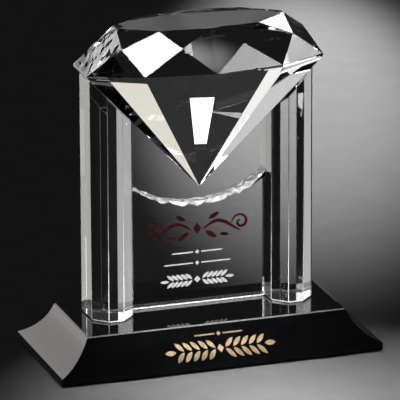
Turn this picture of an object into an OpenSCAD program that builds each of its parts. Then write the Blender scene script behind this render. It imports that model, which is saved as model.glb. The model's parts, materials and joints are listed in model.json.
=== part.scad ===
// Crystal award: an oval brilliant-cut crystal carried by two bevelled pillars, with a
// bow-topped panel between them, all bonded to a black crystal base with coved sides.
// X runs along the base, Y runs from front to back and Z runs up. The origin is the centre
// of the footprint, on the surface that the award stands on. Lengths are in millimetres.

/* [Base] */
// Length of the flat top of the base
base_top_l = 187; // [178:1:240]
// Depth of the flat top of the base
base_top_d = 77; // [66:1:110]
// Height of the base above the table, felt included
base_h = 29; // [24:0.5:40]
// How far the foot spreads past the top at each end
end_spread = 22.5; // [12:0.5:34]
// How far the foot spreads past the top at the front and the back
side_spread = 14.5; // [10:0.5:26]
// Height of the foot's upright lip above the table, felt included
lip_h = 6; // [4:0.5:10]
// Depth of the hollow in each sloping side, as a part of the slope's length
cove_bow = 0.11; // [0.04:0.01:0.16]
// Thickness of the felt under the base
felt_t = 1; // [0.5:0.5:2]
// Distance from the edge of the foot to the edge of the felt
felt_inset = 3; // [1:1:10]
// Width of the polished bevel along the top edges of the base
base_bevel = 0.8; // [0.2:0.1:2]

/* [Pillars] */
// Overall width across both pillars
pillars_w = 160.6; // [150:0.2:166]
// Width of one pillar
pillar_w = 30; // [24:0.2:36]
// Depth of one pillar
pillar_d = 38.6; // [34:0.2:44]
// Width of the large bevels on the pillar's two front upright edges
front_bevel = 9.5; // [5:0.1:11]
// Width of the bevels on the pillar's two back upright edges
back_bevel = 6.4; // [3:0.1:8]
// Width of the polished bevel round the foot of the pillars and the panel
foot_bevel = 0.9; // [0.3:0.1:1.6]
// How far the middle of the pillars stands behind the middle of the base
pillar_setback = 3.4; // [0:0.2:6]

/* [Panel] */
// Thickness of the panel between the pillars
panel_t = 11.5; // [8:0.1:11.6]
// Distance that the front of the panel stands behind the front of the pillars
panel_setback = 20.6; // [10:0.1:20.6]
// Height of the lowest point of the panel's hollow top edge
panel_low_z = 103.5; // [80:0.5:112]
// Radius of the panel's hollow top edge
panel_arc_r = 79; // [60:1:140]

/* [Diamond] */
// Half length of the oval at its widest
girdle_half_l = 84.8; // [84:0.2:92]
// Half depth of the oval at its widest
girdle_half_d = 41; // [34:1:50]
// Height of the lower edge of the widest band
girdle_z = 205.4; // [200:0.2:212]
// Height of the widest band
girdle_t = 1.6; // [1:0.2:3]
// Half length of the flat table on top
table_half_l = 60; // [52:1:64]
// Half depth of the flat table on top
table_half_d = 25; // [20:0.5:28]
// Height of the table, which is the height of the award
table_z = 235.2; // [232:0.2:242]
// Height of the star points between the table and the widest band
star_z = 224.4; // [222:0.2:227]
// Height of the bottom point of the stone
culet_z = 115.8; // [114:0.2:122]

/* [Bonds and fills] */
// Thickness of the clear bonding film
bond_t = 0.2; // [0.1:0.05:0.4]
// Thickness of the painted and gilded fills
fill_t = 0.12; // [0.1:0.02:0.3]
// Height of the middle of the red scroll
scroll_z = 84; // [78:1:88]
// Half length of the red scroll
scroll_half_l = 38; // [28:1:44]
// Height of the middle of the frosted branch
branch_z = 47; // [42:1:52]
// Half length of the frosted branch
branch_half_l = 27; // [22:1:40]
// Half length of the gilded branch on the base
gilt_half_l = 40; // [30:1:70]
// Height of the middle of the gilded branch
gilt_z = 13; // [12:0.5:15]
// Number of leaf pairs on each side of either branch
leaf_pairs = 5; // [3:1:6]

/* [Hidden] */

$fn = 96;
LEFT = -1;
RIGHT = 1;

foot_l = base_top_l + 2 * end_spread;
foot_d = base_top_d + 2 * side_spread;
pillar_out_x = pillars_w / 2;
pillar_in_x = pillar_out_x - pillar_w;
pillar_front_y = pillar_setback - pillar_d / 2;
pillar_back_y = pillar_setback + pillar_d / 2;
upright_z = base_h + bond_t;
panel_front_y = pillar_front_y + panel_setback;
panel_back_y = panel_front_y + panel_t;
panel_half_w = pillar_in_x - bond_t;
panel_arc_z = panel_low_z + panel_arc_r;

// Corners of a quarter of the oval, as parts of its half length and half depth. The same
// three corners, mirrored, make the ten corners of each ring.
GIRDLE_STEPS = [[0, 1], [0.58, 0.825], [1, 0.385]];
TABLE_STEPS = [[0, 1], [0.59, 0.82], [1, 0.14]];
SIDES = 10;

// The end facets under the stone rise evenly from its bottom point to the widest band.
end_slope = (girdle_z - culet_z) / girdle_half_l;
end_half_d = GIRDLE_STEPS[2][1] * girdle_half_d;
bond_drop = bond_t * sqrt(1 + pow(end_slope, 2));

// One whole ring of ten corners, from the front corner round to the right, as [x, y]
function ring(steps, half_l, half_d) = [
    for (i = [0 : SIDES - 1])
        let (
            quarter = i <= 2 || i >= 8 ? -1 : 1,
            half = i >= 1 && i <= 4 ? 1 : -1,
            fold = i <= 5 ? i : SIDES - i,
            step = steps[fold <= 2 ? fold : 5 - fold]
        )
        [half * step[0] * half_l, quarter * step[1] * half_d]
];

GIRDLE = ring(GIRDLE_STEPS, girdle_half_l, girdle_half_d);
TABLE = ring(TABLE_STEPS, table_half_l, table_half_d);

// Level direction that points straight out of the kite facet at one corner of the oval
function kite_out(i) =
    let (
        along = GIRDLE[(i + 1) % SIDES] - GIRDLE[(i + SIDES - 1) % SIDES],
        out = [along[1], -along[0]]
    )
    out / norm(out);

// Distance of a kite facet from the upright axis, at the height of the star points
function kite_reach(i) =
    let (
        rise = (star_z - girdle_z - girdle_t) / (table_z - girdle_z - girdle_t),
        n = kite_out(i)
    )
    (1 - rise) * n * GIRDLE[i] + rise * n * TABLE[i];

// Star point where two neighbouring kite facets meet
function star_point(i) =
    let (
        j = (i + 1) % SIDES,
        a = kite_out(i),
        b = kite_out(j),
        det = a[0] * b[1] - a[1] * b[0]
    )
    [
        (kite_reach(i) * b[1] - kite_reach(j) * a[1]) / det,
        (kite_reach(j) * a[0] - kite_reach(i) * b[0]) / det
    ];

// The ten corners of a ring lifted to one height
function lifted(corners, z) = [for (p = corners) [p[0], p[1], z]];

// ---------------------------------------------------------------- Base

// Circle that hollows out the sloping side on the right of a section of the base, from the
// edge of the top down to the lip, drawn smaller by an inset
module cove_circle(top_l, spread, inset = 0) {
    slope = [spread, lip_h - base_h];
    chord = norm(slope);
    bow = cove_bow * chord;
    r = (pow(chord, 2) / 4 + pow(bow, 2)) / (2 * bow);
    outward = [-slope[1], slope[0]] / chord;
    translate([top_l / 2, base_h] + slope / 2 + outward * (r - bow))
        circle(r = r - inset, $fn = 240);
}

// Upright section of the base across one of its two directions
module base_section(top_l, spread) {
    foot = top_l / 2 + spread;
    difference() {
        polygon([
            [-foot, felt_t],
            [foot, felt_t],
            [foot, lip_h],
            [top_l / 2, base_h],
            [-top_l / 2, base_h],
            [-foot, lip_h]
        ]);
        for (side = [0, 1])
            mirror([side, 0]) {
                cove_circle(top_l, spread);
                translate([top_l / 2, base_h])
                    rotate(45)
                        square(base_bevel * sqrt(2), center = true);
            }
    }
}

module base() {
    color([0.03, 0.03, 0.035])
    intersection() {
        rotate([90, 0, 0])
            linear_extrude(height = foot_d, center = true)
                base_section(base_top_l, end_spread);
        rotate([90, 0, 90])
            linear_extrude(height = foot_l, center = true)
                base_section(base_top_d, side_spread);
    }
}

module base_felt() {
    color([0.08, 0.08, 0.08])
    linear_extrude(height = felt_t)
        square([foot_l - 2 * felt_inset, foot_d - 2 * felt_inset], center = true);
}

// ---------------------------------------------------------------- Pillars and panel

// Plan of the right pillar, as a ring of corners. The panel meets the flat inner side between
// its two bevels.
PILLAR_PLAN = [
    [pillar_in_x + front_bevel, pillar_front_y],
    [pillar_out_x - front_bevel, pillar_front_y],
    [pillar_out_x, pillar_front_y + front_bevel],
    [pillar_out_x, pillar_back_y - back_bevel],
    [pillar_out_x - back_bevel, pillar_back_y],
    [pillar_in_x + back_bevel, pillar_back_y],
    [pillar_in_x, pillar_back_y - back_bevel],
    [pillar_in_x, pillar_front_y + front_bevel]
];

PANEL_PLAN = [
    [-panel_half_w, panel_front_y],
    [panel_half_w, panel_front_y],
    [panel_half_w, panel_back_y],
    [-panel_half_w, panel_back_y]
];

// A ring of corners moved inwards by one distance on every side
function inset(ring, by) = [
    for (i = [0 : len(ring) - 1])
        let (
            before = ring[i] - ring[(i + len(ring) - 1) % len(ring)],
            after = ring[(i + 1) % len(ring)] - ring[i],
            a = [-before[1], before[0]] / norm(before),
            b = [-after[1], after[0]] / norm(after)
        )
        ring[i] + by * (a + b) / (1 + a * b)
];

// An upright block on a plan, with a bevel round its foot
module footed_block(plan, z, top_z) {
    n = len(plan);
    points = concat(
        lifted(inset(plan, foot_bevel), z),
        lifted(plan, z + foot_bevel),
        lifted(plan, top_z)
    );
    faces = concat(
        [[for (i = [0 : n - 1]) i]],
        [[for (i = [n - 1 : -1 : 0]) 2 * n + i]],
        [
            for (low = [0, n], i = [0 : n - 1])
                let (next = (i + 1) % n)
                [low + i, low + n + i, low + n + next, low + next]
        ]
    );
    polyhedron(points = points, faces = faces, convexity = 2);
}

// Everything between two levels that both follow the slope of the stone's end facet,
// given as drops below that facet
module under_end_facet(top_drop, bottom_drop) {
    reach = pillar_out_x + 1;
    facet_z = culet_z + end_slope * reach;
    rotate([90, 0, 0])
        linear_extrude(height = 3 * pillar_d, center = true)
            polygon([
                [0, culet_z - top_drop],
                [reach, facet_z - top_drop],
                [reach, facet_z - bottom_drop],
                [0, culet_z - bottom_drop]
            ]);
}

module pillar(side) {
    tall = culet_z + end_slope * pillar_out_x;
    color([0.85, 0.9, 0.92, 0.4])
    mirror([side == LEFT ? 1 : 0, 0, 0])
    intersection() {
        footed_block(PILLAR_PLAN, upright_z, tall);
        under_end_facet(bond_drop, tall);
    }
}

module center_panel() {
    color([0.8, 0.86, 0.88, 0.4])
    difference() {
        footed_block(PANEL_PLAN, upright_z, panel_arc_z);
        translate([0, panel_front_y - 1, panel_arc_z])
            rotate([-90, 0, 0])
                cylinder(r = panel_arc_r, h = panel_t + 2, $fn = 180);
    }
}

// ---------------------------------------------------------------- Diamond

module diamond() {
    stars = [for (i = [0 : SIDES - 1]) star_point(i)];
    points = concat(
        lifted(TABLE, table_z),
        lifted(stars, star_z),
        lifted(GIRDLE, girdle_z + girdle_t),
        lifted(GIRDLE, girdle_z),
        [[0, 0, culet_z]]
    );
    star = SIDES;
    upper = 2 * SIDES;
    lower = 3 * SIDES;
    culet = 4 * SIDES;
    faces = concat(
        [[for (i = [SIDES - 1 : -1 : 0]) i]],
        [for (i = [0 : SIDES - 1]) [i, (i + 1) % SIDES, star + i]],
        [for (i = [0 : SIDES - 1]) [i, star + i, upper + i, star + (i + SIDES - 1) % SIDES]],
        [for (i = [0 : SIDES - 1]) [star + i, upper + (i + 1) % SIDES, upper + i]],
        [for (i = [0 : SIDES - 1]) [upper + i, upper + (i + 1) % SIDES, lower + (i + 1) % SIDES, lower + i]],
        [for (i = [0 : SIDES - 1]) [lower + i, lower + (i + 1) % SIDES, culet]]
    );
    color([0.9, 0.94, 0.96, 0.5])
    polyhedron(points = points, faces = faces, convexity = 2);
}

// ---------------------------------------------------------------- Bonding films

module pillar_bond(side) {
    color([0.9, 0.95, 0.8, 0.5])
    mirror([side == LEFT ? 1 : 0, 0, 0])
    translate([0, 0, base_h])
        linear_extrude(height = bond_t)
            polygon(inset(PILLAR_PLAN, foot_bevel));
}

module panel_base_bond() {
    color([0.9, 0.95, 0.8, 0.5])
    translate([0, 0, base_h])
        linear_extrude(height = bond_t)
            polygon(inset(PANEL_PLAN, foot_bevel));
}

module panel_side_bond(side) {
    arc_drop = sqrt(pow(panel_arc_r, 2) - pow(panel_half_w, 2));
    low_z = upright_z + foot_bevel;
    color([0.9, 0.95, 0.8, 0.5])
    translate([side == LEFT ? -pillar_in_x : panel_half_w, panel_front_y, low_z])
        cube([bond_t, panel_t, panel_arc_z - arc_drop - low_z]);
}

// The film under one end facet covers as much of the pillar's top as that facet reaches.
module diamond_bond(side) {
    reach = pillar_out_x + 1;
    color([0.9, 0.95, 0.8, 0.5])
    mirror([side == LEFT ? 1 : 0, 0, 0])
    intersection() {
        linear_extrude(height = table_z)
            intersection() {
                polygon(PILLAR_PLAN);
                polygon([
                    [0, 0],
                    [reach, -end_half_d * reach / girdle_half_l],
                    [reach, end_half_d * reach / girdle_half_l]
                ]);
            }
        under_end_facet(0, bond_drop);
    }
}

// ---------------------------------------------------------------- Painted and gilded fills

// Corners of a stroke that follows a line of points, with a width that swells in the middle
function stroke(line, wide, thin) =
    let (
        last = len(line) - 1,
        width = [for (i = [0 : last]) thin + (wide - thin) * sin(180 * i / last)],
        aim = [for (i = [0 : last]) line[min(i + 1, last)] - line[max(i - 1, 0)]],
        edge = [for (i = [0 : last]) [-aim[i][1], aim[i][0]] / norm(aim[i]) * width[i] / 2]
    )
    concat(
        [for (i = [0 : last]) line[i] + edge[i]],
        [for (i = [last : -1 : 0]) line[i] - edge[i]]
    );

// A curl that opens out from its eye while it turns
function curl(eye, start_r, end_r, from, turn, steps = 22) = [
    for (i = [0 : steps])
        let (r = start_r + (end_r - start_r) * i / steps, a = from + turn * i / steps)
        eye + r * [cos(a), sin(a)]
];

// Pointed leaf with its stem at the origin, lying along +X
module leaf(long, wide) {
    r = (pow(long, 2) / 4 + pow(wide, 2) / 4) / wide;
    intersection() {
        translate([long / 2, r - wide / 2])
            circle(r = r, $fn = 48);
        translate([long / 2, wide / 2 - r])
            circle(r = r, $fn = 48);
    }
}

// One side of the red scroll: a long swelling wave that ends in a curl, with a leaf and dots
module scroll_side() {
    end_r = 6.4;
    eye = [scroll_half_l - end_r, 1.6];
    reach = eye[0] - 4.4;
    wave = [for (i = [0 : 24]) [4.4 + reach * i / 24, 5 * sin(232 * i / 24) + 0.4 * i / 24 - 1]];
    polygon(stroke(wave, 2.6, 0.8));
    polygon(stroke(curl(eye, 1, end_r, 90, 450), 2, 0.8));
    translate([reach * 0.3, 6])
        rotate(28)
            leaf(9, 3.2);
    translate([reach * 0.22, -2.4])
        rotate(-34)
            leaf(10, 3.6);
    translate([reach * 0.6, -5.6])
        rotate(-8)
            leaf(7, 2.6);
}

// Four-pointed lozenge
module lozenge(half_l, half_h) {
    polygon([[-half_l, 0], [0, -half_h], [half_l, 0], [0, half_h]]);
}

// Thin rule with pointed ends and a lozenge in the middle
module rule(half_l, thick) {
    lozenge(1.6, 1.6);
    for (side = [LEFT, RIGHT])
        polygon([
            [side * 3, -thick / 2],
            [side * (half_l - 2), -thick / 2],
            [side * half_l, 0],
            [side * (half_l - 2), thick / 2],
            [side * 3, thick / 2]
        ]);
}

// Two branches that run out level from the middle, with leaves in pairs and one at each end
module branches(half_l, leaf_l, leaf_w) {
    start = 3.6;
    step = (half_l - start - leaf_l) / leaf_pairs;
    for (side = [0, 1])
        mirror([side, 0]) {
            for (i = [0 : leaf_pairs - 1], tilt = [LEFT, RIGHT])
                translate([start + step * i, tilt * 0.4])
                    rotate(tilt * 40)
                        leaf(leaf_l, leaf_w);
            translate([start + step * leaf_pairs, 0])
                leaf(leaf_l, leaf_w);
        }
    lozenge(2.4, 2.4);
}

// Lays a flat drawing on the front of the panel, as one thin fill
module on_panel() {
    translate([0, panel_front_y, 0])
        rotate([90, 0, 0])
            linear_extrude(height = fill_t)
                children();
}

module red_scroll_fill() {
    color([0.35, 0.04, 0.09])
    on_panel()
        translate([0, scroll_z]) {
            lozenge(3, 4.2);
            for (side = [0, 1])
                mirror([side, 0])
                    scroll_side();
        }
}

module frosted_fill() {
    color([0.92, 0.93, 0.93])
    on_panel() {
        translate([0, branch_z])
            branches(branch_half_l, 6.6, 2.2);
        translate([0, branch_z + 12])
            rule(branch_half_l - 2, 1);
        translate([0, branch_z + 20])
            rule(branch_half_l - 8, 1);
    }
}

// The gilding follows the hollow of the front cove.
module gilded_fill() {
    color([0.83, 0.66, 0.32])
    intersection() {
        rotate([90, 0, 90])
            linear_extrude(height = base_top_l, center = true)
                mirror([1, 0])
                    difference() {
                        cove_circle(base_top_d, side_spread);
                        cove_circle(base_top_d, side_spread, fill_t);
                    }
        rotate([90, 0, 0])
            linear_extrude(height = foot_d / 2)
                translate([0, gilt_z]) {
                    branches(gilt_half_l, 8, 2.8);
                    translate([0, 9])
                        rule(gilt_half_l * 0.45, 1);
                }
    }
}

base();
base_felt();
pillar(LEFT);  // left_pillar
pillar(RIGHT);  // right_pillar
center_panel();
diamond();
pillar_bond(LEFT);  // left_pillar_bond
pillar_bond(RIGHT);  // right_pillar_bond
panel_base_bond();
panel_side_bond(LEFT);  // panel_left_bond
panel_side_bond(RIGHT);  // panel_right_bond
diamond_bond(LEFT);  // diamond_left_bond
diamond_bond(RIGHT);  // diamond_right_bond
red_scroll_fill();
frosted_fill();
gilded_fill();
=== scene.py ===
"""Looks of the crystal award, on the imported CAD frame. Metres, Z up, front towards -Y."""

import json
import math
import random
from operator import mul

import bmesh
import bpy
from mathutils import Euler, Matrix, Vector

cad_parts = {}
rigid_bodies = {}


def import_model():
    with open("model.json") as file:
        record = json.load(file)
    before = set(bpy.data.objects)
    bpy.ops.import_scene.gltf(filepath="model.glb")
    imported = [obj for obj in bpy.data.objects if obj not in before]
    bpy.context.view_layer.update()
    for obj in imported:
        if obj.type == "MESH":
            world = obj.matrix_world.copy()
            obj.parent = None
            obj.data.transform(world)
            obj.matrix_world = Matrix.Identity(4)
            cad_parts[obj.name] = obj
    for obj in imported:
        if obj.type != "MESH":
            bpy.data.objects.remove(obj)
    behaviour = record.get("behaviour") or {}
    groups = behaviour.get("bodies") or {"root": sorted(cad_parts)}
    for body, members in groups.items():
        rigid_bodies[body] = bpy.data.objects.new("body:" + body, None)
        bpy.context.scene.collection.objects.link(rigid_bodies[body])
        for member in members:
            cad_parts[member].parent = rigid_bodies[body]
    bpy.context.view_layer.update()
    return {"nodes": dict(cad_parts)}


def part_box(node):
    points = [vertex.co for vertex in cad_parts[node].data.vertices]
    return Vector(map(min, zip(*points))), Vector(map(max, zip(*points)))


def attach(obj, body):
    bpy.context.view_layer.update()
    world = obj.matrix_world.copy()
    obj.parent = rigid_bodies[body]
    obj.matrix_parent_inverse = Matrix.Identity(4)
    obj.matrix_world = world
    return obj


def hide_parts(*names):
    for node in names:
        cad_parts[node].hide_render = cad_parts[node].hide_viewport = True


MM = 0.001

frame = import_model()


# ---------------------------------------------------------------- camera

CAMERA_PLACE = (-1.0695, -3.178, 1.174)
CAMERA_YAW = math.radians(18.61)
CAMERA_PITCH = math.radians(17.67)
CAMERA_ROLL = math.radians(-0.18)
SENSOR_WIDTH_MM = 36
FOCAL_LENGTH_MM = 460
CLIP_NEAR = 0.1
CLIP_FAR = 50


def add_camera():
    """Long lens, a little to the left of the front and looking down, as an award is shown in a catalogue."""
    data = bpy.data.cameras.new("camera")
    data.sensor_width = SENSOR_WIDTH_MM
    data.lens = FOCAL_LENGTH_MM
    data.clip_start = CLIP_NEAR
    data.clip_end = CLIP_FAR
    cam = bpy.data.objects.new("camera", data)
    level = Euler((math.pi / 2 - CAMERA_PITCH, 0, -CAMERA_YAW)).to_matrix()
    turn = level @ Matrix.Rotation(CAMERA_ROLL, 3, "Z")
    cam.rotation_euler = turn.to_euler()
    cam.location = CAMERA_PLACE
    bpy.context.scene.collection.objects.link(cam)
    bpy.context.scene.camera = cam


# ---------------------------------------------------------------- materials

CRYSTAL_IOR = 1.52
# Each fill with its material's name, dark and light colour, least and greatest roughness, scale of
# grain and share of metal.
FILLS = {
    "red_scroll_fill": ("red_paint", (0.035, 0.002, 0.005), (0.06, 0.004, 0.01), 0.3, 0.5, 400, 0.0),
    "frosted_fill": ("white_frost", (0.75, 0.76, 0.76), (0.9, 0.9, 0.9), 0.6, 0.9, 900, 0.0),
    "gilded_fill": ("gold_paint", (0.72, 0.5, 0.26), (0.92, 0.72, 0.45), 0.3, 0.5, 500, 0.3),
}


def new_material(name):
    """A material with a Principled shader, and its node tree and shader."""
    mat = bpy.data.materials.new(name)
    mat.use_nodes = True
    shader = mat.node_tree.nodes["Principled BSDF"]
    return mat, mat.node_tree, shader


def object_noise(tree, scale, detail=2.0):
    """Noise fixed to the object, as the output socket of its node."""
    coords = tree.nodes.new("ShaderNodeTexCoord")
    noise = tree.nodes.new("ShaderNodeTexNoise")
    noise.inputs["Scale"].default_value = scale
    noise.inputs["Detail"].default_value = detail
    tree.links.new(coords.outputs["Object"], noise.inputs["Vector"])
    return noise.outputs["Fac"]


def vary(tree, fac, socket, low, high):
    """Feeds a number socket from noise, between two values."""
    span = tree.nodes.new("ShaderNodeMapRange")
    span.inputs["From Min"].default_value = 0.3
    span.inputs["From Max"].default_value = 0.7
    span.inputs["To Min"].default_value = low
    span.inputs["To Max"].default_value = high
    tree.links.new(fac, span.inputs["Value"])
    tree.links.new(span.outputs["Result"], socket)


def mottle(tree, fac, shader, dark, light):
    """Feeds the base colour from noise, between two colours."""
    ramp = tree.nodes.new("ShaderNodeValToRGB")
    ramp.color_ramp.elements[0].position = 0.35
    ramp.color_ramp.elements[1].position = 0.65
    ramp.color_ramp.elements[0].color = (*dark, 1)
    ramp.color_ramp.elements[1].color = (*light, 1)
    tree.links.new(fac, ramp.inputs["Fac"])
    tree.links.new(ramp.outputs["Color"], shader.inputs["Base Color"])


def roughen(tree, fac, shader, depth):
    """Bump from noise, with its depth in metres."""
    bump = tree.nodes.new("ShaderNodeBump")
    bump.inputs["Strength"].default_value = 1.0
    bump.inputs["Distance"].default_value = depth
    tree.links.new(fac, bump.inputs["Height"])
    tree.links.new(bump.outputs["Normal"], shader.inputs["Normal"])


def clear_crystal():
    """Optical crystal: a hardly visible change of tint, and the slow waver of hand polishing."""
    mat, tree, shader = new_material("clear_crystal")
    shader.inputs["Roughness"].default_value = 0.0
    shader.inputs["IOR"].default_value = CRYSTAL_IOR
    shader.inputs["Transmission Weight"].default_value = 1.0
    tint = object_noise(tree, scale=12)
    mottle(tree, tint, shader, dark=(0.975, 0.985, 0.98), light=(0.99, 0.995, 0.995))
    waver = object_noise(tree, scale=25, detail=1)
    roughen(tree, waver, shader, depth=0.006 * MM)
    return mat


def chipped_crystal():
    """Crystal left as it broke: sparkling, partly milky flakes."""
    mat, tree, shader = new_material("chipped_crystal")
    shader.inputs["IOR"].default_value = CRYSTAL_IOR
    shader.inputs["Transmission Weight"].default_value = 0.4
    grain = object_noise(tree, scale=900, detail=3)
    vary(tree, grain, shader.inputs["Roughness"], low=0.02, high=0.35)
    milk = object_noise(tree, scale=300)
    mottle(tree, milk, shader, dark=(0.4, 0.42, 0.42), light=(1, 1, 1))
    roughen(tree, grain, shader, depth=0.15 * MM)
    return mat


def ground_crystal_and_painted_highlight():
    """Crystal ground matt, which scatters the light. On the base's front top bevel it serves as a painted
    highlight.
    """
    mat, tree, shader = new_material("ground_crystal_and_painted_highlight")
    shader.inputs["IOR"].default_value = CRYSTAL_IOR
    shader.inputs["Transmission Weight"].default_value = 0.5
    grain = object_noise(tree, scale=1200)
    vary(tree, grain, shader.inputs["Roughness"], low=0.15, high=0.4)
    mottle(tree, grain, shader, dark=(0.85, 0.86, 0.86), light=(1, 1, 1))
    roughen(tree, grain, shader, depth=0.03 * MM)
    return mat


def black_crystal():
    """Black crystal polished to a mirror, with faint wipe marks that only show in its gloss."""
    mat, tree, shader = new_material("black_crystal")
    shader.inputs["IOR"].default_value = CRYSTAL_IOR
    tint = object_noise(tree, scale=60)
    mottle(tree, tint, shader, dark=(0.003, 0.003, 0.004), light=(0.006, 0.006, 0.007))
    wipe_marks = object_noise(tree, scale=30, detail=4)
    vary(tree, wipe_marks, shader.inputs["Roughness"], low=0.004, high=0.02)
    return mat


def felt():
    """Black wool felt with its nap."""
    mat, tree, shader = new_material("felt")
    nap = object_noise(tree, scale=1500, detail=4)
    mottle(tree, nap, shader, dark=(0.006, 0.006, 0.006), light=(0.02, 0.02, 0.02))
    shader.inputs["Roughness"].default_value = 0.95
    shader.inputs["Sheen Weight"].default_value = 0.4
    roughen(tree, nap, shader, depth=0.2 * MM)
    return mat


def painted(name, dark, light, low, high, scale, metallic):
    """Fill whose colour and gloss both vary a little, with a grain of its own."""
    mat, tree, shader = new_material(name)
    shader.inputs["Metallic"].default_value = metallic
    grain = object_noise(tree, scale, detail=3)
    mottle(tree, grain, shader, dark, light)
    vary(tree, grain, shader.inputs["Roughness"], low, high)
    roughen(tree, grain, shader, depth=0.02 * MM)
    return mat


def dark_bond():
    """Clear adhesive on black crystal, which takes up all the light that reaches it."""
    mat, tree, shader = new_material("dark_bond")
    shader.inputs["Roughness"].default_value = 0.9
    shader.inputs["Specular IOR Level"].default_value = 0.0
    tint = object_noise(tree, scale=200)
    mottle(tree, tint, shader, dark=(0.003, 0.003, 0.003), light=(0.007, 0.007, 0.007))
    return mat


def floor_paper():
    """Plain pale matte paper."""
    mat, tree, shader = new_material("floor_paper")
    shader.inputs["Roughness"].default_value = 1.0
    shader.inputs["Specular IOR Level"].default_value = 0.0
    fibres = object_noise(tree, scale=40, detail=4)
    mottle(tree, fibres, shader, dark=(0.66, 0.66, 0.66), light=(0.7, 0.7, 0.7))
    return mat


def set_material(node, mat):
    """Gives a CAD node its material."""
    obj = frame["nodes"][node]
    obj.data.materials.clear()
    obj.data.materials.append(mat)


# ---------------------------------------------------------------- copies and their edges

WELD_DISTANCE = 0.001 * MM
SHARP = math.radians(20)


def copy_piece(node, name, materials):
    """A new piece with the CAD shape of a node, which takes the node's place."""
    mesh = frame["nodes"][node].data.copy()
    mesh.name = name
    set_material(node, materials[0])
    mesh.materials.clear()
    for mat in materials:
        mesh.materials.append(mat)
    piece = bpy.data.objects.new(name, mesh)
    bpy.context.scene.collection.objects.link(piece)
    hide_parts(node)
    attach(piece, "root")
    return piece


def weld(mesh):
    """Joins the corners of a flat-faced mesh, which is packed with every triangle on its own."""
    work = bmesh.new()
    work.from_mesh(mesh)
    bmesh.ops.remove_doubles(work, verts=work.verts, dist=WELD_DISTANCE)
    work.to_mesh(mesh)
    work.free()
    if mesh.has_custom_normals:
        mesh.attributes.remove(mesh.attributes["custom_normal"])
    for face in mesh.polygons:
        face.use_smooth = False


def grind_edges(obj, width, slot, by_weight=False):
    """Small bevel in one of the piece's materials, along every sharp edge or along the weighted edges."""
    bevel = obj.modifiers.new("edge_bevel", "BEVEL")
    bevel.material = slot
    bevel.width = width
    bevel.segments = 1
    bevel.limit_method = "WEIGHT" if by_weight else "ANGLE"
    bevel.angle_limit = SHARP


# ---------------------------------------------------------------- bonds

FILM_OVERLAP = 0.03 * MM
THICKEST_FILM = 3 * MM
CLEAR_FILM_INSET = 0.05 * MM
CLEAR_FILMS = ("panel_left_bond", "panel_right_bond", "diamond_left_bond", "diamond_right_bond")
# How far the black films are drawn in, so that the borders of these joints reflect fully, as in the
# photo. It leaves 91.4 x 2.7 mm of the panel's, but only 0.2 x 8.8 mm of each pillar's film.
BLACK_FILM_INSETS = {
    "left_pillar_bond": 14 * MM,
    "right_pillar_bond": 14 * MM,
    "panel_base_bond": 3.5 * MM,
}


def film_axis(mesh):
    """Direction across a thin film: the normal of its largest face."""
    return max(mesh.polygons, key=lambda face: face.area).normal.copy()


def add_film(node, mat, inset):
    """A film that reaches a little into the pieces on both its sides, so that light passes without a gap.

    Its rim is drawn in, so that no face of it lies in a face of its neighbours.
    """
    mesh = frame["nodes"][node].data.copy()
    mesh.name = node + "_film"
    axis = film_axis(mesh)
    low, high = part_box(node)
    middle = (low + high) / 2
    shrink = Vector([1 - 2 * inset / side if side > THICKEST_FILM else 1 for side in high - low])
    for vertex in mesh.vertices:
        out = vertex.co - middle
        across = out.dot(axis)
        in_plane = out - across * axis
        thicker = across + math.copysign(FILM_OVERLAP, across)
        vertex.co = middle + Vector(map(mul, shrink, in_plane)) + axis * thicker
    set_material(node, mat)
    mesh.materials.clear()
    mesh.materials.append(mat)
    film = bpy.data.objects.new(node + "_film", mesh)
    bpy.context.scene.collection.objects.link(film)
    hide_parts(node)
    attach(film, "root")


# ---------------------------------------------------------------- base and pillars

# A ground face is known by how near its centre is to the end of the piece, and by how far up
# (or, at the foot, down) its normal points. On the base this picks the front top bevel, whose pale
# ground material is a painted highlight.
PAINTED_HIGHLIGHT_REACH = 1 * MM
PAINTED_HIGHLIGHT_UP = (0.5, 0.9)
PAINTED_HIGHLIGHT_FACES_FRONT = -0.5
PILLAR_FOOT_REACH = 2 * MM
PILLAR_FOOT_UP = (-0.9, -0.3)
PILLAR_EDGE = 0.3 * MM


def points_up(face, limits):
    """True for a face whose normal has an upward part between two limits."""
    return limits[0] < face.normal.z < limits[1]


def add_base(black, ground):
    """The base, with a painted highlight: the pale ground material on the bevel along the front edge of its
    top.
    """
    base = copy_piece("base", "base_crystal", (black, ground))
    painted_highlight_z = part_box("base")[1].z - PAINTED_HIGHLIGHT_REACH
    # Only the bevel along the front edge of the top gets the pale material, as a painted highlight; the
    # other top edges stay black.
    for face in base.data.polygons:
        in_painted_highlight = face.center.z > painted_highlight_z and points_up(face, PAINTED_HIGHLIGHT_UP)
        face.material_index = 1 if in_painted_highlight and face.normal.y < PAINTED_HIGHLIGHT_FACES_FRONT else 0


def add_pillar(node, clear, ground):
    """The pillar, with its foot chamfer and its edges left ground."""
    pillar = copy_piece(node, node + "_crystal", (clear, ground))
    weld(pillar.data)
    foot_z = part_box(node)[0].z + PILLAR_FOOT_REACH
    for face in pillar.data.polygons:
        at_foot = face.center.z < foot_z and points_up(face, PILLAR_FOOT_UP)
        face.material_index = 1 if at_foot else 0
    grind_edges(pillar, PILLAR_EDGE, 1)


# ---------------------------------------------------------------- stone

STONE_EDGE = 0.3 * MM
HAMMERED_X = -0.46
CROWN_Z = 0.05
DENT_SEED = 11
DENT_CUTS = 6
DENT_DEPTH = 0.8 * MM


def is_hammered(face):
    """True for the crown facets of the stone's left end."""
    return face.normal.x < HAMMERED_X and face.normal.z > CROWN_Z


def weigh_edges(work):
    """Marks the sharp edges between polished facets for the bevel."""
    weight = work.edges.layers.float.new("bevel_weight_edge")
    for edge in work.edges:
        calm = not any(is_hammered(face) for face in edge.link_faces)
        edge[weight] = 1 if calm and edge.calc_face_angle(0) > SHARP else 0


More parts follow.
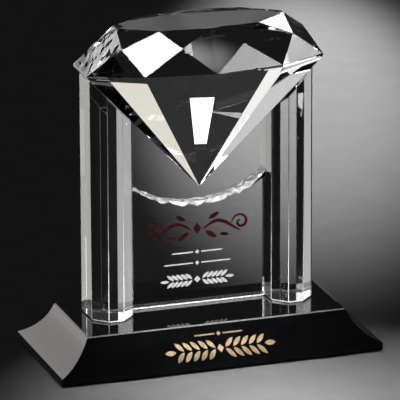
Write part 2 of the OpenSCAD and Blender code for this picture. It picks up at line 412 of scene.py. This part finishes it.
def dent_facets(work):
    """Cuts the hammered facets into a fine grid, and presses its inner points in at random."""
    facets = [face for face in work.faces if is_hammered(face)]
    flakes = bmesh.ops.triangulate(work, faces=facets)["faces"]
    edges = list(dict.fromkeys(edge for face in flakes for edge in face.edges))
    bmesh.ops.subdivide_edges(work, edges=edges, cuts=DENT_CUTS, use_grid_fill=True)
    work.normal_update()
    inner = [point for point in work.verts if all(is_hammered(face) for face in point.link_faces)]
    inward = [-point.normal for point in inner]
    dice = random.Random(DENT_SEED)
    for point, direction in zip(inner, inward):
        point.co += direction * dice.uniform(0, DENT_DEPTH)


def add_stone(clear):
    """The stone, with the crown facets of its left end hammered into small flakes."""
    stone = copy_piece("diamond", "stone_crystal", (clear,))
    weld(stone.data)
    work = bmesh.new()
    work.from_mesh(stone.data)
    weigh_edges(work)
    dent_facets(work)
    work.to_mesh(stone.data)
    work.free()
    grind_edges(stone, STONE_EDGE, 0, by_weight=True)


# ---------------------------------------------------------------- panel

PANEL_FOOT = 1.5 * MM
PANEL_FOOT_INSET = 1.38 * MM
CHIP_SEED = 5
CHIP_COLUMNS = 40
CHIP_ROWS = 5
COLUMN_JITTER = 0.38
ROW_JITTER = 0.3
RIM_CHIPS_MM = (1.2, 3.6)
INNER_CHIPS_MM = (0, 1.4)


def panel_arc():
    """Centre height and radius of the panel's hollow top, read off its CAD mesh."""
    low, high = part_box("center_panel")
    middle_z = (low.z + high.z) / 2
    bottom_z = min(v.co.z for v in frame["nodes"]["center_panel"].data.vertices if v.co.z > middle_z)
    rise = high.z - bottom_z
    radius = (high.x ** 2 + rise ** 2) / (2 * rise)
    return bottom_z + radius, radius


def chip_point(column, row, dice):
    """One corner of the flaked top edge. The outer rows stay in the faces, the end columns in the sides."""
    low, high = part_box("center_panel")
    centre_z, radius = panel_arc()
    on_side = column in (0, CHIP_COLUMNS)
    on_face = row in (0, CHIP_ROWS)
    widest = math.asin(high.x / radius)
    jitter = 0 if on_side else dice.uniform(-COLUMN_JITTER, COLUMN_JITTER)
    angle = widest * (2 * (column + jitter) / CHIP_COLUMNS - 1)
    depth = dice.uniform(*(RIM_CHIPS_MM if on_face else INNER_CHIPS_MM)) * MM
    shift = 0 if on_face else dice.uniform(-ROW_JITTER, ROW_JITTER)
    share = (row + shift) / CHIP_ROWS
    if on_side:
        x = high.x if column else -high.x
    else:
        x = (radius + depth) * math.sin(angle)
    z = centre_z - (radius + depth) * math.cos(angle)
    return (x, low.y + share * (high.y - low.y), z)


def foot_corners(low, high, inset, z):
    """The corners of the panel's outline at a height, drawn in on all sides."""
    return [
        (low.x + inset, low.y + inset, z),
        (high.x - inset, low.y + inset, z),
        (high.x - inset, high.y - inset, z),
        (low.x + inset, high.y - inset, z),
    ]


def polished_faces(top, ring):
    """The panel's front, back, two sides and underside. Its first foot corner has the number ring."""
    front_left, front_right, back_right, back_left = range(ring, ring + 4)
    return [
        [front_left, front_right] + [column[0] for column in reversed(top)],
        [back_right, back_left] + [column[-1] for column in top],
        [back_left, front_left] + top[0],
        [front_right, back_right] + top[-1][::-1],
        [ring + 7, ring + 6, ring + 5, ring + 4],
    ]


def foot_faces(ring):
    """The four faces of the bevel round the panel's foot."""
    return [[ring + i, ring + 4 + i, ring + 4 + (i + 1) % 4, ring + (i + 1) % 4] for i in range(4)]


def chip_faces(top, dice):
    """Two triangles for each cell of the flaked top edge, with the cell split either way."""
    faces = []
    for c in range(CHIP_COLUMNS):
        for r in range(CHIP_ROWS):
            a, b, d, e = top[c][r], top[c + 1][r], top[c + 1][r + 1], top[c][r + 1]
            faces += [[a, b, d], [a, d, e]] if dice.random() < 0.5 else [[a, b, e], [b, d, e]]
    return faces


def panel_mesh(materials):
    """The panel's shape, with its polished, chipped and ground faces in materials 0, 1 and 2."""
    dice = random.Random(CHIP_SEED)
    low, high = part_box("center_panel")
    rows = CHIP_ROWS + 1
    points = [chip_point(c, r, dice) for c in range(CHIP_COLUMNS + 1) for r in range(rows)]
    top = [[c * rows + r for r in range(rows)] for c in range(CHIP_COLUMNS + 1)]
    ring = len(points)
    points += foot_corners(low, high, 0, low.z + PANEL_FOOT)
    points += foot_corners(low, high, PANEL_FOOT_INSET, low.z)
    polished, foot, chips = polished_faces(top, ring), foot_faces(ring), chip_faces(top, dice)
    mesh = bpy.data.meshes.new("panel_crystal")
    mesh.from_pydata(points, [], polished + foot + chips)
    for mat in materials:
        mesh.materials.append(mat)
    slots = [0] * len(polished) + [2] * len(foot) + [1] * len(chips)
    for face, slot in zip(mesh.polygons, slots):
        face.material_index = slot
    mesh.validate()
    return mesh


def add_panel(clear, chipped, ground):
    """The panel, with its hollow top edge flaked off by hand in small chips."""
    panel = bpy.data.objects.new("panel_crystal", panel_mesh((clear, chipped, ground)))
    bpy.context.scene.collection.objects.link(panel)
    set_material("center_panel", clear)
    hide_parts("center_panel")
    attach(panel, "root")


# ---------------------------------------------------------------- stage

# Softboxes that only the polished surfaces see. Each has the direction that it stands in from
# the stone, in degrees (azimuth from +X towards +Y, then elevation), its width and height in
# degrees, its brightness and its colour.
SOFTBOXES = {
    "front_left": (255, 45, 20, 14, 22, (1, 1, 1)),
    "front_right": (307, 21, 5, 6, 7, (1, 1, 1)),
    "right": (344, 16, 12, 12, 7, (1, 1, 1)),
    "back_right_high": (27, 38, 12, 10, 13, (1, 1, 1)),
    "back_right": (43, 24, 18, 14, 0.75, (1, 0.95, 0.86)),
    "back_middle": (71.5, 11.72, 8, 1.25, 1.6, (1, 1, 1)),
    "left": (202, 30, 36, 18, 0.55, (1, 1, 1)),
    "left_high": (150, 46, 30, 26, 7, (1, 1, 1)),
}
# The same, seen through glass but not in reflections.
GLASS_BOXES = {
    "back_left": (105.5, 14.5, 31, 29, 0.75, (1, 0.98, 0.95)),
}
# The same, seen in reflections but not through glass: the side of the left pillar and the hollow
# left face of the base mirror them.
GLOSS_BOXES = {
    "low_left": (108, -11.1, 34, 22.2, 1.3, (1, 0.98, 0.94)),
    "high_left": (108, 15, 36, 30, 1.2, (1, 0.98, 0.95)),
}
# Upright cards behind the award that face front, and that only glass shows. The first two reach
# below the floor, like the backdrop in the glass. The third is a low strip, which makes the white
# bar under the stone's table. Each has its place (x, y), bottom, width, height and brightness.
CARDS = {
    "card_left": ((-0.078, 0.12), -0.2, 0.075, 0.36, 0.35),
    "card_middle": ((-0.018, 0.3), -0.4, 0.046, 0.7, 0.4),
    "card_low": ((0.22, 0.63), 0, 0.1, 0.02, 1.2),
}
# The pieces that stand on the base, whose ground feet have a lamp of their own.
CRYSTAL_FEET = ("panel_crystal", "left_pillar_crystal", "right_pillar_crystal")
# Spot lamps, which only matte surfaces show: place, aim, spread in degrees, power and what they
# light. The paper is laid twice: as the floor, and far below as the backdrop that the glass shows.
LAMPS = {
    "back": ((1.06, 2.9, 0.8), (0.27, 0.545, 0), 6.4, 570, ("floor",)),
    "front": ((0.07, 0.5, 2.0), (0.0, -0.145, 0), 6.8, 140, ("floor",)),
    "backdrop_glow": ((2.634, 7.35, 0.149), (1.412, 3.717, -1), 7.2, 1350, ("floor_in_glass",)),
    "backdrop_spot": ((0.80, 3.33, 1.5), (0.80, 3.33, -1), 5.6, 120, ("floor_in_glass",)),
    "backdrop_below": ((0.3, 0.48, 0.5), (0.3, 0.48, -1), 27, 26, ("floor_in_glass",)),
    "floor_left": ((-0.62, 0.5, 2.5), (-0.62, 0.5, 0), 24, 85, ("floor",)),
    "floor_right": ((0.9, 0.1, 2.5), (0.9, 0.1, 0), 27, 95, ("floor",)),
    "floor_behind": ((0.3, 1.65, 2.5), (0.3, 1.65, 0), 27, 90, ("floor",)),
    "floor_before": ((0, -0.85, 2.5), (0, -0.85, 0), 24, 85, ("floor",)),
    "backdrop_before": ((0, -4, 4), (0, -4, -1), 50, 200, ("floor_in_glass",)),
    "backdrop_left": ((-4.5, 0.5, 4), (-4.5, 0.5, -1), 50, 200, ("floor_in_glass",)),
    "backdrop_right": ((4, -1.8, 4), (4, -1.8, -1), 42, 200, ("floor_in_glass",)),
    "key_panel": ((-0.35, -2.4, 0.55), (-0.002, 0, 0.08), 4.4, 150, ("award",)),
    "key_arc_back": ((0.5, 2.3, 0.95), (0, 0.006, 0.112), 3.2, 450, ("panel_crystal",)),
    "key_arc_front": ((-0.35, -2.4, 0.55), (0, 0, 0.09), 4.6, 260, ("panel_crystal",)),
    "key_feet": ((-0.35, -2.4, 0.55), (0, 0, 0.024), 4.6, 900, CRYSTAL_FEET),
    "key_edge": ((0.5, -2.4, 0.7), (0, -0.045, 0.02), 6, 100, ("base_crystal",)),
    "key_base": ((0.5, -2.4, 0.7), (0.0, -0.045, 0.02), 5, 70, ("award",)),
}
STONE_CENTRE = Vector((0, 0, 0.2))
SOFTBOX_DISTANCE = 2.5
FLOOR_HALF = 6
BACKDROP_DROP = 1.0
WHITE = (1, 1, 1)
TOWARDS_FRONT = Vector((0, -1, 0))
# Power per square metre of a light that is as bright as 1.
AREA_POWER = 4
LAMP_BLEND = 1.0
LAMP_RADIUS = 0.02
FRONT_BLEND = 0.6
FRONT_RADIUS = 0.1
DIM_FILL_PLACE = (0, 0, 3)
DIM_FILL_AIM = (0.3, 0.2, 0)
DIM_FILL_POWER = 0.03
ROOM_GREY = (0.03, 0.03, 0.03, 1)


def add_floor(name):
    """A wide sheet of paper under everything."""
    mesh = bpy.data.meshes.new(name)
    s = FLOOR_HALF
    mesh.from_pydata([(-s, -s, 0), (s, -s, 0), (s, s, 0), (-s, s, 0)], [], [[0, 1, 2, 3]])
    floor = bpy.data.objects.new(name, mesh)
    mesh.materials.append(floor_paper())
    bpy.context.scene.collection.objects.link(floor)
    return floor


def add_floors():
    """The paper floor, and the sheet that glass shows in its place."""
    direct = add_floor("floor")
    direct.visible_transmission = False
    direct.visible_glossy = False
    direct.visible_shadow = False
    in_glass = add_floor("floor_in_glass")
    in_glass.visible_camera = False
    in_glass.visible_glossy = False
    in_glass.visible_diffuse = False
    in_glass.visible_shadow = False
    in_glass.location.z = -BACKDROP_DROP


def heading(azimuth, elevation):
    """Unit vector in a direction given in degrees."""
    a, e = math.radians(azimuth), math.radians(elevation)
    return Vector((math.cos(e) * math.cos(a), math.cos(e) * math.sin(a), math.sin(e)))


def add_light(name, kind, place, aim, colour, power):
    """A light that shines from its place towards its aim, and isn't seen by the camera."""
    data = bpy.data.lights.new(name, kind)
    data.color = colour
    data.energy = power
    light = bpy.data.objects.new(name, data)
    light.location = place
    light.rotation_euler = (Vector(aim) - Vector(place)).to_track_quat("-Z", "Y").to_euler()
    light.visible_camera = False
    bpy.context.scene.collection.objects.link(light)
    return light


def add_rectangle(name, place, aim, wide, tall, brightness, colour):
    """An evenly bright rectangle that shows in gloss and glass, and leaves matte surfaces as they are."""
    power = AREA_POWER * brightness * wide * tall
    light = add_light(name, "AREA", place, aim, colour, power)
    light.data.shape = "RECTANGLE"
    light.data.size = wide
    light.data.size_y = tall
    light.visible_diffuse = False
    return light


def add_softbox(name, azimuth, elevation, wide, tall, brightness, colour):
    """A rectangle far out in a direction from the stone, which it faces."""
    size = [2 * SOFTBOX_DISTANCE * math.tan(math.radians(angle) / 2) for angle in (wide, tall)]
    place = STONE_CENTRE + SOFTBOX_DISTANCE * heading(azimuth, elevation)
    return add_rectangle(name, place, STONE_CENTRE, *size, brightness, colour)


def add_card(name, place, bottom, wide, tall, brightness):
    """An upright rectangle facing front, which only glass shows."""
    place = Vector((*place, bottom + tall / 2))
    card = add_rectangle(name, place, place + TOWARDS_FRONT, wide, tall, brightness, WHITE)
    card.visible_glossy = False


def add_lamp(name, place, aim, spread, power, lights):
    """A spot lamp that lights matte surfaces only, of the papers or the award."""
    light = add_light(name, "SPOT", place, aim, WHITE, power)
    light.data.spot_size = math.radians(spread)
    light.data.spot_blend = LAMP_BLEND
    light.data.shadow_soft_size = LAMP_RADIUS
    light.visible_glossy = False
    light.visible_transmission = False
    lit = bpy.data.collections.new(name + "_lights")
    for obj in bpy.context.scene.objects:
        kind = obj.name if obj.name.startswith("floor") else "award"
        if obj.type == "MESH" and (kind in lights or obj.name in lights):
            lit.objects.link(obj)
    light.light_linking.receiver_collection = lit


def shade_front():
    """Gives the pool of light before the award the shadow of the base, and of nothing else."""
    light = bpy.data.objects["front"]
    light.data.spot_blend = FRONT_BLEND
    light.data.shadow_soft_size = FRONT_RADIUS
    blockers = bpy.data.collections.new("front_blockers")
    blockers.objects.link(bpy.data.objects["base_crystal"])
    light.light_linking.blocker_collection = blockers


def add_dim_fill():
    """The little light that reaches every matte surface."""
    light = add_light("dim_fill", "SUN", DIM_FILL_PLACE, DIM_FILL_AIM, WHITE, DIM_FILL_POWER)
    light.visible_glossy = False
    light.visible_transmission = False


def add_world():
    """A dark grey room, which shows in gloss and glass and doesn't light matte surfaces."""
    world = bpy.data.worlds.new("studio")
    world.use_nodes = True
    background = world.node_tree.nodes["Background"]
    background.inputs["Color"].default_value = ROOM_GREY
    world.cycles_visibility.diffuse = False
    bpy.context.scene.world = world


def calm_floor():
    """Keeps the light that the award throws off from speckling the paper."""
    for obj in bpy.context.scene.objects:
        if obj.type == "MESH" and not obj.name.startswith("floor"):
            obj.visible_diffuse = False


# ---------------------------------------------------------------- the scene


def add_award():
    """All the pieces, with their materials."""
    clear = clear_crystal()
    set_material("base_felt", felt())
    for node, setting in FILLS.items():
        set_material(node, painted(*setting))
    ground = ground_crystal_and_painted_highlight()
    add_pillar("left_pillar", clear, ground)
    add_pillar("right_pillar", clear, ground)
    add_stone(clear)
    add_panel(clear, chipped_crystal(), ground)
    bond_black = dark_bond()
    for node, inset in BLACK_FILM_INSETS.items():
        add_film(node, bond_black, inset)
    for node in CLEAR_FILMS:
        add_film(node, clear, CLEAR_FILM_INSET)
    # The base's front top bevel takes the pale ground material as a painted highlight.
    add_base(black_crystal(), ground)


def add_stage():
    """Paper, lights and room. The lamps need all the pieces to be there, because each lights its own."""
    add_floors()
    for name, setting in SOFTBOXES.items():
        add_softbox(name, *setting)
    for name, setting in GLASS_BOXES.items():
        add_softbox(name, *setting).visible_glossy = False
    for name, setting in GLOSS_BOXES.items():
        add_softbox(name, *setting).visible_transmission = False
    for name, setting in CARDS.items():
        add_card(name, *setting)
    for name, setting in LAMPS.items():
        add_lamp(name, *setting)
    shade_front()
    add_dim_fill()
    add_world()
    calm_floor()


add_camera()
add_award()
add_stage()
bpy.context.scene.view_settings.view_transform = "Standard"
